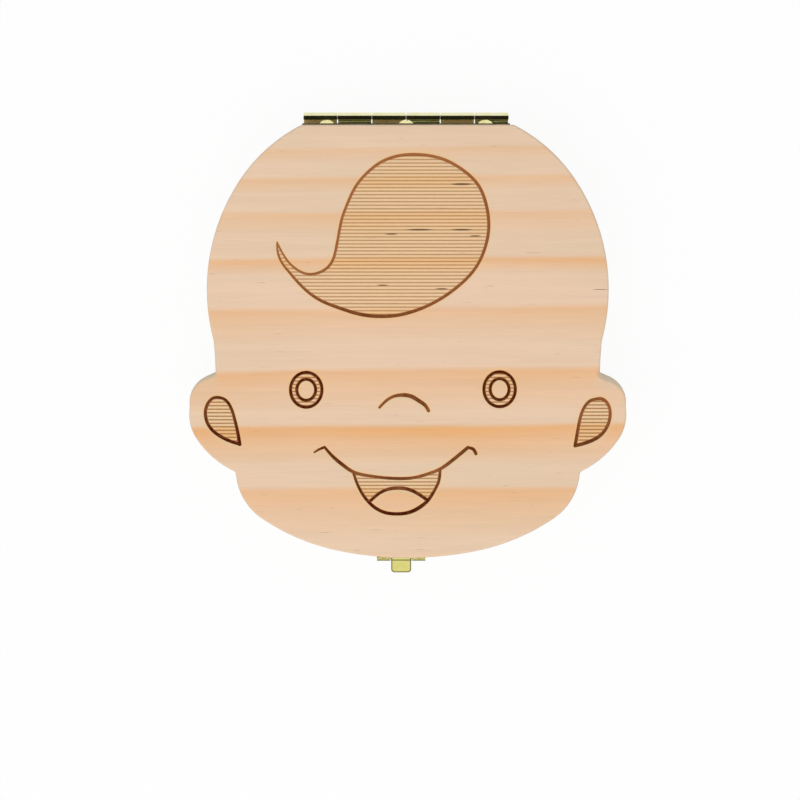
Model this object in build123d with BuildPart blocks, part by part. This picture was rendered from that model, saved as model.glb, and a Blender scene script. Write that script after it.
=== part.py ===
# Baby tooth box: two routed pine halves shaped as a baby's head, joined by a piano hinge
# on the flat at the top of the head and closed by a small hasp at the chin.
# The box lies on its base with the face up: +Z up, +Y towards the hinge, -Y towards the chin.
# The origin is at the middle of the base's underside. All lengths are in millimetres.
import os
from math import cos, pi, radians, sin, tan

from build123d import *

os.makedirs("parts", exist_ok=True)

# Head outline, shared by both halves
face_width = 120.0
face_height = 118.9
base_thickness = 15.0
lid_thickness = 15.0
notch_round = 0.8  # the router leaves this radius in the ear and jaw notches
edge_round = 0.6  # sanded edge round the top of the lid and the underside of the base
cut_overrun = 1.0  # how far every cut runs past the surface that it opens

# Right half of the outline, from the end of the hinge flat down to the chin, as shares of
# half the width and half the height: a start, then the middle and the end of each arc.
outline_shares = [
    (0.485, 1.0),
    (0.637, 0.896), (0.743, 0.781),  # shoulder of the flat
    (0.911, 0.364), (0.888, 0.0025),  # crown
    (0.882, -0.0735), (0.879, -0.1505),  # temple, down to the ear notch
    (0.963, -0.191), (0.997, -0.302),  # top of the ear
    (0.993, -0.3915), (0.956, -0.465),  # back of the ear
    (0.892, -0.536), (0.787, -0.604),  # lobe, down to the jaw notch
    (0.755, -0.721), (0.658, -0.825),  # cheek
    (0.507, -0.9075), (0.340, -0.963),  # jaw
    (0.170, -0.991), (0.0, -1.0),  # chin
]
jaw_notch_count = 3  # the jaw notch among the outline's corners, counted upwards from the chin
ear_notch_count = 6  # the ear notch, counted the same way

# Tooth wells: a ring of twenty, ten for each jaw, round two rectangular compartments
well_count = 20
well_diameter = 9.5
well_depth = 10.0
ring_half_width = 36.0
ring_half_height = 42.0
ring_centre_y = 2.0
compartment_width = 36.0
compartment_height = 20.0
compartment_gap = 6.0
compartment_round = 4.0
compartment_depth = 10.0

# Burned drawing on the lid, as shares of half the face width from the drawing's own centre
art_centre_y = -0.35
line_width = 0.9
line_depth = 0.3
eye_line_width = 0.8
hair_outer_shares = [
    (-0.597, 0.457), (-0.542, 0.322), (-0.408, 0.195), (-0.227, 0.132), (-0.060, 0.125),
    (0.142, 0.195), (0.310, 0.342), (0.370, 0.552), (0.323, 0.718), (0.175, 0.838),
    (-0.060, 0.852), (-0.187, 0.775), (-0.275, 0.637), (-0.315, 0.497), (-0.338, 0.388),
]
hair_inner_shares = [
    (-0.338, 0.388), (-0.402, 0.322), (-0.480, 0.318), (-0.557, 0.383), (-0.597, 0.457),
]
eye_centre_shares = [(-0.464, -0.216), (0.420, -0.213)]
eye_outer_shares = (0.0717, 0.0795)
eye_inner_shares = (0.0433, 0.0483)
nose_shares = [(-0.129, -0.297), (-0.070, -0.248), (-0.027, -0.240), (0.052, -0.267), (0.095, -0.312)]
smile_corner_shares = [(-0.427, -0.502), (-0.407, -0.487), (-0.380, -0.478)]
smile_shares = [
    (-0.380, -0.478), (-0.298, -0.558), (-0.182, -0.608), (-0.044, -0.622), (0.088, -0.602),
    (0.200, -0.542), (0.275, -0.480),
]
smile_hook_shares = [(0.275, -0.480), (0.302, -0.487), (0.312, -0.508)]
lip_shares = [
    (-0.248, -0.600), (-0.198, -0.705), (-0.105, -0.777), (-0.050, -0.783), (0.062, -0.748),
    (0.142, -0.633), (0.148, -0.592),
]
tongue_shares = [(-0.168, -0.722), (-0.093, -0.672), (-0.044, -0.665), (0.005, -0.672), (0.087, -0.718)]
left_drop_outer_shares = [
    (-0.768, -0.465), (-0.857, -0.428), (-0.922, -0.350), (-0.923, -0.300), (-0.877, -0.248),
]
left_drop_inner_shares = [(-0.877, -0.248), (-0.813, -0.288), (-0.792, -0.350), (-0.768, -0.465)]
right_drop_outer_shares = [
    (0.765, -0.476), (0.837, -0.450), (0.912, -0.383), (0.920, -0.300), (0.877, -0.255),
]
right_drop_inner_shares = [(0.877, -0.255), (0.810, -0.292), (0.790, -0.340), (0.765, -0.476)]

# Piano hinge on the flat at the top of the head
hinge_length = 57.4
hinge_x = -0.45
hinge_knuckles = 6
knuckle_gap = 0.3
hinge_sheet = 0.6
hinge_pin_radius = 0.65
hinge_reach = 2.95  # from the rear face of the wood out to the pin
hinge_leaf_height = 9.0
hinge_bend_radius = 0.8
hinge_lean_angle = 45.0  # how far the sheet leans out before it rolls round the pin, in degrees
roll_angle = 265.0  # how far each rolled sheet wraps its pin, in degrees
running_clearance = 0.05  # between each pin and the bore of its knuckles, all round

# Hinge screws
hinge_screw_count = 3
hinge_screw_spacing = 22.0
screw_head_radius = 2.2
screw_crown_radius = 1.2
screw_head_height = 0.9
screw_shank_radius = 0.8
screw_length = 8.0
screw_tip = 1.6
screw_point_radius = 0.25
fastener_clearance = 0.05  # round each shank, in the sheet and in the wood

# Hasp at the chin: plate and tongue on the lid, catch on the base
hasp_x = -1.8
hasp_width = 13.4
hasp_sheet = 0.4
hasp_pin_radius = 0.35
hasp_reach = 0.85  # from the chin out to the pin
hasp_pin_rise = 6.0  # of the pin, above the joint between the halves
hasp_plate_height = 5.6
hasp_bend_radius = 0.6
hasp_lean_angle = 30.0
hasp_corner_round = 1.0
tongue_width = 5.6
tongue_drop = 9.2  # from the pin down to the bend of the finger lip
tongue_bend_radius = 0.8
tongue_gap = 0.2  # at each side, between the tongue's knuckle and the plate's
lip_reach = 6.0  # from the chin out to the end of the finger lip
lip_slope_angle = 25.0  # how far the finger lip falls below the level, in degrees
window_width = 3.1
window_clearance = 0.3  # round the nose
catch_height = 8.0
catch_drop = 0.8  # of the catch's top edge, below the joint between the halves
nose_width = 2.5
nose_height = 1.7
nose_drop = 1.0  # of the nose's top, below the joint between the halves
nose_reach = 2.6
nose_slope = 0.5
nail_head_radius = 0.95
nail_crown_radius = 0.5
nail_head_height = 0.45
nail_shank_radius = 0.45
nail_length = 6.0
nail_tip = 1.0
nail_point_radius = 0.15
nail_spacing = 9.8

# Places worked out from the sizes above
rear_y = face_height / 2
chin_y = -face_height / 2
art_unit = face_width / 2
closed_height = base_thickness + lid_thickness
hinge_bore_radius = hinge_pin_radius + running_clearance
hasp_bore_radius = hasp_pin_radius + running_clearance
hasp_pin_z = base_thickness + hasp_pin_rise


def head_face():
    # The right half is arcs end to end from the hinge flat to the chin; the left half mirrors it.
    points = [(x * face_width / 2, y * face_height / 2) for x, y in outline_shares]
    with BuildSketch() as face:
        with BuildLine():
            Line((0, rear_y), points[0])
            for start, middle, end in zip(points[0:-2:2], points[1:-1:2], points[2::2]):
                ThreePointArc(start, middle, end)
            mirror(about=Plane.YZ)
        make_face()
        levels = face.vertices().group_by(Axis.Y)
        fillet(levels[jaw_notch_count] + levels[ear_notch_count], radius=notch_round)
    return face.sketch


def rear_plane(x, z):
    # Faces out of the rear of the wood, with its own X to the left and its own Y up.
    return Plane(origin=(x, rear_y, z), x_dir=(-1, 0, 0), z_dir=(0, 1, 0))


def chin_plane(x, z):
    # Faces out of the chin, with its own X to the right and its own Y up.
    return Plane(origin=(x, chin_y, z), x_dir=(1, 0, 0), z_dir=(0, -1, 0))


def section_plane(x, face_y, pin_z, outward, rise):
    # A section across a rolled sheet: its own X runs out of the wood, its own Y along the sheet
    # towards the pin, and its origin is on the face of the wood, level with the pin.
    return Plane(
        origin=(x, face_y, pin_z), x_dir=(0, outward, 0), z_dir=(outward * rise, 0, 0)
    )


def bend_level(reach, sheet, bore_radius, bend_radius, lean):
    # Where the flat of a rolled sheet ends, below the level of its pin.
    roll = bore_radius + sheet / 2
    slant = reach - roll * cos(radians(lean)) - sheet / 2 - bend_radius * (1 - cos(radians(lean)))
    run = slant / sin(radians(lean))
    return roll * sin(radians(lean)) - run * cos(radians(lean)) - bend_radius * sin(radians(lean))


def rolled_section(reach, sheet, bore_radius, bend_radius, lean):
    # The sheet bends away from the wood, runs straight to the pin and rolls round it.
    roll = bore_radius + sheet / 2
    bend_y = bend_level(reach, sheet, bore_radius, bend_radius, lean)
    with BuildSketch() as section:
        with BuildLine():
            bend = CenterArc((sheet / 2 + bend_radius, bend_y), bend_radius, 180, -lean)
            curl = CenterArc((reach, 0), roll, 180 - lean, -roll_angle)
            Line(bend @ 1, curl @ 0)
        trace(line_width=sheet)
    return section.sketch


def headed(head_radius, crown_radius, head_height, shank_radius, length, tip, point_radius):
    # Drawn along its own +Z: the shank runs down from the origin to a blunted point, and the
    # sloped head stands on it.
    with BuildPart() as fastener:
        with BuildSketch(Plane.XZ):
            with BuildLine():
                Polyline(
                    (0, -length), (point_radius, -length), (shank_radius, tip - length),
                    (shank_radius, 0), (head_radius, 0), (crown_radius, head_height), (0, head_height),
                    close=True,
                )
            make_face()
        revolve(axis=Axis.Z)
    return fastener.part


def stroke(shares, width):
    # One burned line: arcs along a smooth curve through its points, drawn with a round-ended pen.
    points = [Vector(x * art_unit, art_centre_y + y * art_unit) for x, y in shares]
    curve = Edge.make_spline(points)
    arc_count = len(points) - 1
    along = [curve @ (i / (2 * arc_count)) for i in range(2 * arc_count + 1)]
    with BuildSketch() as mark:
        with BuildLine():
            for start, middle, end in zip(along[0:-2:2], along[1:-1:2], along[2::2]):
                ThreePointArc(start, middle, end)
        trace(line_width=width)
        with Locations(points[0], points[-1]):
            Circle(width / 2)
    return mark.sketch


def ring_of_wells():
    # Wells stand at equal steps of angle round the ring, half a step off its axes.
    step = 2 * pi / well_count
    return [
        (
            ring_half_width * cos((i + 1 / 2) * step),
            ring_centre_y + ring_half_height * sin((i + 1 / 2) * step),
        )
        for i in range(well_count)
    ]


# Fastener places
hinge_bend = bend_level(
    hinge_reach, hinge_sheet, hinge_bore_radius, hinge_bend_radius, hinge_lean_angle
)
hasp_bend = bend_level(hasp_reach, hasp_sheet, hasp_bore_radius, hasp_bend_radius, hasp_lean_angle)
screw_rise = hinge_leaf_height / 2 - hinge_bend  # from the joint to the screws, either way
latch_nail_z = hasp_pin_z - hasp_bend + hasp_plate_height / 2
catch_nail_z = base_thickness - catch_drop - catch_height / 2


def screw_row(plane):
    # The outlines of a row of screw holes.
    with BuildSketch(plane) as row:
        with GridLocations(hinge_screw_spacing, hinge_sheet, hinge_screw_count, 1):
            Circle(screw_shank_radius + fastener_clearance)
    return row.sketch


def nail_pair(plane):
    # The outlines of a pair of nail holes.
    with BuildSketch(plane) as pair:
        with GridLocations(nail_spacing, hasp_sheet, 2, 1):
            Circle(nail_shank_radius + fastener_clearance)
    return pair.sketch


# Base half, with the wells and compartments
with BuildPart() as base:
    with BuildSketch():
        add(head_face())
    extrude(amount=base_thickness)
    fillet(base.faces().sort_by(Axis.Z)[0].outer_wire().edges(), radius=edge_round)
    with BuildSketch(Plane.XY.offset(base_thickness)):
        with Locations(*ring_of_wells()):
            Circle(well_diameter / 2)
    extrude(amount=-well_depth, mode=Mode.SUBTRACT)
    with BuildSketch(Plane.XY.offset(base_thickness)):
        with Locations((0, ring_centre_y)):
            with GridLocations(compartment_width, compartment_height + compartment_gap, 1, 2):
                RectangleRounded(compartment_width, compartment_height, compartment_round)
    extrude(amount=-compartment_depth, mode=Mode.SUBTRACT)
    screw_plane = rear_plane(hinge_x, base_thickness - screw_rise)
    extrude(screw_row(screw_plane), amount=-screw_length, mode=Mode.SUBTRACT)
    nail_plane = chin_plane(hasp_x, catch_nail_z)
    extrude(nail_pair(nail_plane), amount=-nail_length, mode=Mode.SUBTRACT)
base.part.label = "base"
export_step(base.part, "parts/base.step")

# Lid half, with the burned drawing
with BuildPart() as lid:
    with BuildSketch(Plane.XY.offset(base_thickness)):
        add(head_face())
    extrude(amount=lid_thickness)
    fillet(lid.faces().sort_by(Axis.Z)[-1].outer_wire().edges(), radius=edge_round)
    screw_plane = rear_plane(hinge_x, base_thickness + screw_rise)
    extrude(screw_row(screw_plane), amount=-screw_length, mode=Mode.SUBTRACT)
    nail_plane = chin_plane(hasp_x, latch_nail_z)
    extrude(nail_pair(nail_plane), amount=-nail_length, mode=Mode.SUBTRACT)
    with BuildSketch(Plane.XY.offset(closed_height)):
        for shares in (
            hair_outer_shares, hair_inner_shares, nose_shares, smile_corner_shares,
            smile_shares, smile_hook_shares, lip_shares, tongue_shares,
            left_drop_outer_shares, left_drop_inner_shares,
            right_drop_outer_shares, right_drop_inner_shares,
        ):
            add(stroke(shares, line_width))
        for eye_x, eye_y in eye_centre_shares:
            with Locations((eye_x * art_unit, art_centre_y + eye_y * art_unit)):
                for wide, high in (eye_outer_shares, eye_inner_shares):
                    Ellipse(wide * art_unit + eye_line_width / 2, high * art_unit + eye_line_width / 2)
                    Ellipse(
                        wide * art_unit - eye_line_width / 2,
                        high * art_unit - eye_line_width / 2,
                        mode=Mode.SUBTRACT,
                    )
    extrude(amount=-line_depth, mode=Mode.SUBTRACT)
lid.part.label = "lid"
export_step(lid.part, "parts/lid.step")


def hinge_leaf(side, first_knuckle):
    # side is +1 for the lid's leaf and -1 for the base's. Each leaf takes every other knuckle.
    pitch = hinge_length / hinge_knuckles
    with BuildPart() as leaf:
        flat_z = base_thickness + side * screw_rise
        with BuildSketch(rear_plane(hinge_x, flat_z)):
            Rectangle(hinge_length, hinge_leaf_height)
        extrude(amount=hinge_sheet)
        section = rolled_section(
            hinge_reach, hinge_sheet, hinge_bore_radius, hinge_bend_radius, hinge_lean_angle
        )
        for i in range(first_knuckle, hinge_knuckles, 2):
            x = hinge_x + (i + 1 / 2) * pitch - hinge_length / 2
            with BuildSketch(section_plane(x, rear_y, base_thickness, 1, -side)):
                add(section)
            extrude(amount=(pitch - knuckle_gap) / 2, both=True)
        holes = screw_row(rear_plane(hinge_x, flat_z))
        extrude(holes, amount=hinge_sheet + cut_overrun, mode=Mode.SUBTRACT)
    return leaf.part


# Hinge leaves: the base's leaf holds the first knuckle on the left
with BuildPart() as hinge_leaf_base:
    add(hinge_leaf(-1, 0))
hinge_leaf_base.part.label = "hinge_leaf_base"
export_step(hinge_leaf_base.part, "parts/hinge_leaf_base.step")

with BuildPart() as hinge_leaf_lid:
    add(hinge_leaf(1, 1))
hinge_leaf_lid.part.label = "hinge_leaf_lid"
export_step(hinge_leaf_lid.part, "parts/hinge_leaf_lid.step")

# Hinge pin
with BuildPart() as hinge_pin:
    with BuildSketch(section_plane(hinge_x, rear_y, base_thickness, 1, 1)):
        with Locations((hinge_reach, 0)):
            Circle(hinge_pin_radius)
    extrude(amount=hinge_length / 2, both=True)
hinge_pin.part.label = "hinge_pin"
export_step(hinge_pin.part, "parts/hinge_pin.step")


def hinge_screws(z):
    # A row of screws whose heads bear on the leaf.
    screw = headed(
        screw_head_radius, screw_crown_radius, screw_head_height, screw_shank_radius,
        screw_length, screw_tip, screw_point_radius,
    )
    with BuildPart() as screws:
        with Locations(rear_plane(hinge_x, z).offset(hinge_sheet)):
            with GridLocations(hinge_screw_spacing, hinge_sheet, hinge_screw_count, 1):
                add(screw)
    return screws.part


with BuildPart() as hinge_screws_base:
    add(hinge_screws(base_thickness - screw_rise))
hinge_screws_base.part.label = "hinge_screws_base"
export_step(hinge_screws_base.part, "parts/hinge_screws_base.step")

with BuildPart() as hinge_screws_lid:
    add(hinge_screws(base_thickness + screw_rise))
hinge_screws_lid.part.label = "hinge_screws_lid"
export_step(hinge_screws_lid.part, "parts/hinge_screws_lid.step")

# Latch plate on the lid: two knuckles at its lower edge, with room for the tongue's between them
with BuildPart() as latch_plate:
    with BuildSketch(chin_plane(hasp_x, latch_nail_z)):
        RectangleRounded(hasp_width, hasp_plate_height, hasp_corner_round)
        with Locations((0, -hasp_plate_height / 4)):
            Rectangle(hasp_width, hasp_plate_height / 2)
        with Locations((0, hasp_pin_z - latch_nail_z)):
            knuckle_room = hasp_bore_radius + hasp_sheet + tongue_gap
            Rectangle(tongue_width + 2 * tongue_gap, 2 * knuckle_room, mode=Mode.SUBTRACT)
    extrude(amount=hasp_sheet)
    holes = nail_pair(chin_plane(hasp_x, latch_nail_z))
    extrude(holes, amount=hasp_sheet + cut_overrun, mode=Mode.SUBTRACT)
    side_knuckle = (hasp_width - tongue_width) / 2 - tongue_gap
    for side in (-1, 1):
        x = hasp_x + side * (hasp_width - side_knuckle) / 2
        with BuildSketch(section_plane(x, chin_y, hasp_pin_z, -1, -1)):
            add(rolled_section(hasp_reach, hasp_sheet, hasp_bore_radius, hasp_bend_radius, hasp_lean_angle))
        extrude(amount=side_knuckle / 2, both=True)
latch_plate.part.label = "latch_plate"
export_step(latch_plate.part, "parts/latch_plate.step")

# Latch pin
with BuildPart() as latch_pin:
    with BuildSketch(section_plane(hasp_x, chin_y, hasp_pin_z, -1, 1)):
        with Locations((hasp_reach, 0)):
            Circle(hasp_pin_radius)
    extrude(amount=hasp_width / 2, both=True)
latch_pin.part.label = "latch_pin"
export_step(latch_pin.part, "parts/latch_pin.step")

# Latch tongue: rolled round the pin, straight down over the catch, then out as a finger lip
with BuildPart() as latch_tongue:
    roll = hasp_bore_radius + hasp_sheet / 2
    hang = hasp_reach + roll
    with BuildSketch(section_plane(hasp_x, chin_y, hasp_pin_z, -1, 1)):
        with BuildLine():
            curl = CenterArc((hasp_reach, 0), roll, roll_angle, -roll_angle)
            bend = CenterArc(
                (hang + tongue_bend_radius, -tongue_drop),
                tongue_bend_radius, 180, 90 - lip_slope_angle,
            )
            Line(curl @ 1, bend @ 0)
            lip_start = bend @ 1
            lip_fall = (lip_reach - lip_start.X) * tan(radians(lip_slope_angle))
            Line(lip_start, (lip_reach, lip_start.Y - lip_fall))
        trace(line_width=hasp_sheet)
    extrude(amount=tongue_width / 2, both=True)
    lip_end = latch_tongue.faces().sort_by(Axis.Y)[0]
    fillet(lip_end.edges().filter_by(Axis.X, reverse=True), radius=hasp_corner_round)
    nose_z = base_thickness - nose_drop - nose_height / 2
    with BuildSketch(chin_plane(hasp_x, nose_z).offset(hang - hasp_sheet)):
        Rectangle(window_width, nose_height + 2 * window_clearance)
    extrude(amount=2 * hasp_sheet, mode=Mode.SUBTRACT)
latch_tongue.part.label = "latch_tongue"
export_step(latch_tongue.part, "parts/latch_tongue.step")

# Catch plate on the base, with the nose that the tongue's window drops over
with BuildPart() as catch_plate:
    with BuildSketch(chin_plane(hasp_x, catch_nail_z)):
        RectangleRounded(hasp_width, catch_height, hasp_corner_round)
    extrude(amount=hasp_sheet)
    holes = nail_pair(chin_plane(hasp_x, catch_nail_z))
    extrude(holes, amount=hasp_sheet + cut_overrun, mode=Mode.SUBTRACT)
    with BuildSketch(section_plane(hasp_x, chin_y, nose_z, -1, 1)):
        with BuildLine():
            Polyline(
                (hasp_sheet, -nose_height / 2),
                (nose_reach - nose_slope, -nose_height / 2),
                (nose_reach, nose_slope - nose_height / 2),
                (nose_reach, nose_height / 2 - nose_slope),
                (hasp_sheet, nose_height / 2),
                close=True,
            )
        make_face()
    extrude(amount=nose_width / 2, both=True)
catch_plate.part.label = "catch_plate"
export_step(catch_plate.part, "parts/catch_plate.step")


def nails(z):
    # A pair of nails whose heads bear on a hasp plate.
    nail = headed(
        nail_head_radius, nail_crown_radius, nail_head_height, nail_shank_radius,
        nail_length, nail_tip, nail_point_radius,
    )
    with BuildPart() as pair:
        with Locations(chin_plane(hasp_x, z).offset(hasp_sheet)):
            with GridLocations(nail_spacing, hasp_sheet, 2, 1):
                add(nail)
    return pair.part


with BuildPart() as latch_nails:
    add(nails(latch_nail_z))
latch_nails.part.label = "latch_nails"
export_step(latch_nails.part, "parts/latch_nails.step")

with BuildPart() as catch_nails:
    add(nails(catch_nail_z))
catch_nails.part.label = "catch_nails"
export_step(catch_nails.part, "parts/catch_nails.step")
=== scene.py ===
import math

import bpy
import numpy as np
from mathutils.geometry import delaunay_2d_cdt
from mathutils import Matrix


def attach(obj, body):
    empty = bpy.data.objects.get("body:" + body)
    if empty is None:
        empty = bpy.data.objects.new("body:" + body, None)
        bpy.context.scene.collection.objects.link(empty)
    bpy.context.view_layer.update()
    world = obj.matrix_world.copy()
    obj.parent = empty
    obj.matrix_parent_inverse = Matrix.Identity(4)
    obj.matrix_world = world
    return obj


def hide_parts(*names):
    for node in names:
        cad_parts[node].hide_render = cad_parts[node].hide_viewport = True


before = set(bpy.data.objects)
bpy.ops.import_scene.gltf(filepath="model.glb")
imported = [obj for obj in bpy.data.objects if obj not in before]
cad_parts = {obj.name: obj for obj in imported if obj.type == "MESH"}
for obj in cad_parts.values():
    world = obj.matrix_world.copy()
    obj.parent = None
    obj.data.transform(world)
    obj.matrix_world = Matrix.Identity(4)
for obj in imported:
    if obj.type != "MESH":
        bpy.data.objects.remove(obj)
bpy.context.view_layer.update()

mm = 0.001  # every size below is in millimetres unless a note says metres
print("stage: frame loaded")


def linked(name, data):
    made = bpy.data.objects.new(name, data)
    bpy.context.scene.collection.objects.link(made)
    return made


# Camera, straight above the lid
cameraPlace = {
    "at": (-0.00213, 0.01465, 0.780),  # metres
    "lens": 123.05,
    "shiftUp": -0.1402,
}
cameraData = bpy.data.cameras.new("camera")
cameraData.lens = cameraPlace["lens"]
cameraData.shift_y = cameraPlace["shiftUp"]
cameraObject = linked("camera", cameraData)
cameraObject.location = cameraPlace["at"]
bpy.context.scene.camera = cameraObject
bpy.context.scene.view_settings.view_transform = "Standard"


# Small helpers for node trees
def linear(red, green, blue):
    # A colour as seen on screen, 0 to 255, turned into the linear value a shader wants.
    seen = np.array([red, green, blue]) / 255
    value = np.where(seen > 0.04045, ((seen + 0.055) / 1.055) ** 2.4, seen / 12.92)
    return (*value.tolist(), 1.0)


class Wire:
    # A node's output. Each sum with it adds a maths node to its tree.
    def __init__(self, node, key=0):
        self.tree, self.socket = node.id_data, node.outputs[key]

    def __add__(self, other):
        return calc("ADD", self, other)

    def __sub__(self, other):
        return calc("SUBTRACT", self, other)

    def __rsub__(self, other):
        return calc("SUBTRACT", other, self)

    def __mul__(self, other):
        return calc("MULTIPLY", self, other)

    def __truediv__(self, other):
        return calc("DIVIDE", self, other)

    def __pow__(self, other):
        return calc("POWER", self, other)

    def clamped(self):
        self.socket.node.use_clamp = True
        return self


def treeOf(*values):
    return next(value.tree for value in values if isinstance(value, Wire))


def fill(node, inputs):
    # Links an input where its value is a wire, and sets it where it isn't.
    for key, value in inputs.items():
        if isinstance(value, Wire):
            node.id_data.links.new(value.socket, node.inputs[key])
        else:
            node.inputs[key].default_value = value


def addNode(tree, kind, inputs=None, **settings):
    made = tree.nodes.new(kind)
    for key, value in settings.items():
        setattr(made, key, value)
    fill(made, inputs or {})
    return made


def calc(operation, *values):
    return Wire(addNode(treeOf(*values), "ShaderNodeMath", dict(enumerate(values)), operation=operation))


def xyz(vector):
    made = addNode(vector.tree, "ShaderNodeSeparateXYZ", {0: vector})
    return [Wire(made, i) for i in range(3)]


def mapped(value, low, high, first=0.0, last=1.0, smooth="LINEAR"):
    # First up to low, last from high on, and in between it passes from one to the other.
    inputs = dict(enumerate((value, low, high, first, last)))
    return Wire(addNode(value.tree, "ShaderNodeMapRange", inputs, interpolation_type=smooth))


def mixColour(share, first, second, blend="MIX"):
    inputs = {"Factor": share, 6: first, 7: second}
    made = addNode(treeOf(share, first), "ShaderNodeMix", inputs, data_type="RGBA", blend_type=blend)
    return Wire(made, 2)


def ramp(value, stops, smooth="LINEAR"):
    # Stops are (place, grey) pairs.
    made = addNode(value.tree, "ShaderNodeValToRGB", {0: value})
    made.color_ramp.interpolation = smooth
    elements = made.color_ramp.elements
    while len(elements) < len(stops):
        elements.new(1.0)
    for element, (place, grey) in zip(elements, stops):
        element.position = place
        element.color = (grey, grey, grey, 1.0)
    return Wire(made)


def placeOn(tree, slide=0.0):
    # Where a point lies on its piece, in millimetres, slid along X.
    inputs = {
        "Vector": Wire(addNode(tree, "ShaderNodeTexCoord"), "Object"),
        "Scale": (1 / mm, 1 / mm, 1 / mm), "Location": (slide, 0.0, 0.0),
    }
    return Wire(addNode(tree, "ShaderNodeMapping", inputs))


def noise(place, along, across, detail, roughness=0.5):
    # Noise that varies this finely along X, and across it.
    stretch = {"Vector": place, "Scale": (along, across, across)}
    stretched = Wire(addNode(place.tree, "ShaderNodeMapping", stretch))
    inputs = {"Vector": stretched, "Scale": 1.0, "Detail": detail, "Roughness": roughness}
    return Wire(addNode(place.tree, "ShaderNodeTexNoise", inputs))


def newMaterial(name):
    material = bpy.data.materials.new(name)
    material.use_nodes = True
    tree = material.node_tree
    return material, tree, tree.nodes["Principled BSDF"]


def dress(shader, colour, roughness, height, strength, distance):
    bump = addNode(shader.id_data, "ShaderNodeBump", {
        "Height": height, "Strength": strength, "Distance": distance * mm,
    })
    fill(shader, {"Base Color": colour, "Roughness": roughness, "Normal": Wire(bump)})


# Pine: rings run along X, each with a dark late edge towards the hinge that fades to the front
pineColours = {
    "pale": linear(228, 197, 169),
    "paleCool": linear(224, 196, 167),
    "late": linear(228, 171, 115),
    # grey of end grain, also painted as shade on walls that look to the rear over the ears
    "grainAndShade": linear(206, 198, 176),
    "resin": linear(86, 60, 30),
    "scorch": linear(238, 192, 104),
    "hatch": linear(165, 112, 62),
    "singed": linear(166, 104, 58),
    "burn": linear(72, 22, 6),
}
lidRings = {  # each ring's late edge on the face, how dark it is, and how far below it fades out
    "rings": [
        (67.5, 0.3, 6.0), (54.8, 0.44, 5.0), (46.7, 0.56, 5.0), (37.1, 0.46, 8.0), (23.8, 0.88, 5.5),
        (10.3, 0.56, 11.0), (-6.8, 0.72, 13.0), (-22.4, 0.92, 11.5), (-39.2, 0.58, 15.0),
        (-57.0, 0.12, 8.0),
    ],
    "faceHeight": 30.0,
    "tilt": 0.35,  # how far the rings lean through the board's thickness
    "bend": 2.0,  # how far they wander along it
    "drift": 0.014,  # and how far they rise to the right
    "slide": 0.0,
    "resin": [  # single streaks: X, Y, half their length and half their width
        (14.8, 43.1, 3.4, 0.36), (3.3, 30.6, 4.2, 0.3), (14.8, 30.6, 3.4, 0.3), (-4.5, 29.4, 2.0, 0.24),
        (18.5, 28.9, 1.8, 0.22), (9.3, 14.4, 2.0, 0.22), (-6.9, 15.4, 1.8, 0.2), (52.9, 14.2, 2.5, 0.1),
    ],
}
baseRings = {
    "rings": [
        (70.0, 0.5, 6.0), (57.0, 0.6, 5.0), (48.0, 0.5, 7.0), (37.0, 0.7, 6.0), (24.0, 0.6, 8.0),
        (13.0, 0.5, 5.0), (-1.0, 0.7, 9.0), (-17.0, 0.6, 6.0), (-30.0, 0.8, 12.0), (-47.0, 0.6, 7.0),
        (-60.0, 0.5, 6.0),
    ],
    "faceHeight": 15.0,
    "tilt": -0.45,
    "bend": 2.2,
    "drift": -0.02,
    "slide": 40.0,
    "resin": [(-20.0, 31.0, 2.8, 0.3), (28.0, -36.0, 3.0, 0.25)],
}
pineNoises = {  # how finely each varies along and across the grain, its detail and its roughness
    "slow": (0.006, 0.02, 1.0),
    "quick": (0.03, 0.12, 2.0),
    "patches": (0.012, 0.05, 2.0),
    "fine": (0.09, 2.6, 3.0, 0.6),
    "broad": (0.02, 0.55, 3.0, 0.6),
    "dashes": (0.16, 2.2, 1.0),
    "char": (0.9, 0.9, 3.0),
}
pineLook = {
    "ripple": 1.2,  # how far the rings waver over a centimetre or two
    "ringRise": 2.0,  # a ring darkens over this length and fades in this shape to its end
    "ringShape": [(0.0, 1.0), (0.2, 1.0), (0.4, 0.68), (0.6, 0.45), (0.8, 0.25), (1.0, 0.0)],
    "patchStops": [(0.35, 0.0), (0.65, 1.0)],
    "uneven": (0.35, 0.8),  # rings and burned marks are this much noise and this much even
    "fibres": (0.12, 0.14, 0.87),  # fine ones, broad ones, and the level that they stand on
    "dashStops": [(0.72, 0.0), (0.8, 0.3)],
    "streak": 0.85,  # how dark a single streak of resin is
    "streakEdge": 1.5,  # how hard its edge is
    "streakDepth": 1.5,  # how far it reaches below the face
    "grainAndShade": 0.8,
    "roughness": 0.52,
    "charRoughness": 0.3,
    "fibreRoughness": 0.1,
    "specular": 0.3,  # of bare wood, where charred wood has none
    "ringHeight": 0.5,  # how far a late edge stands out beside a fibre
    "bump": (0.35, 0.03),  # strength and depth
}


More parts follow.
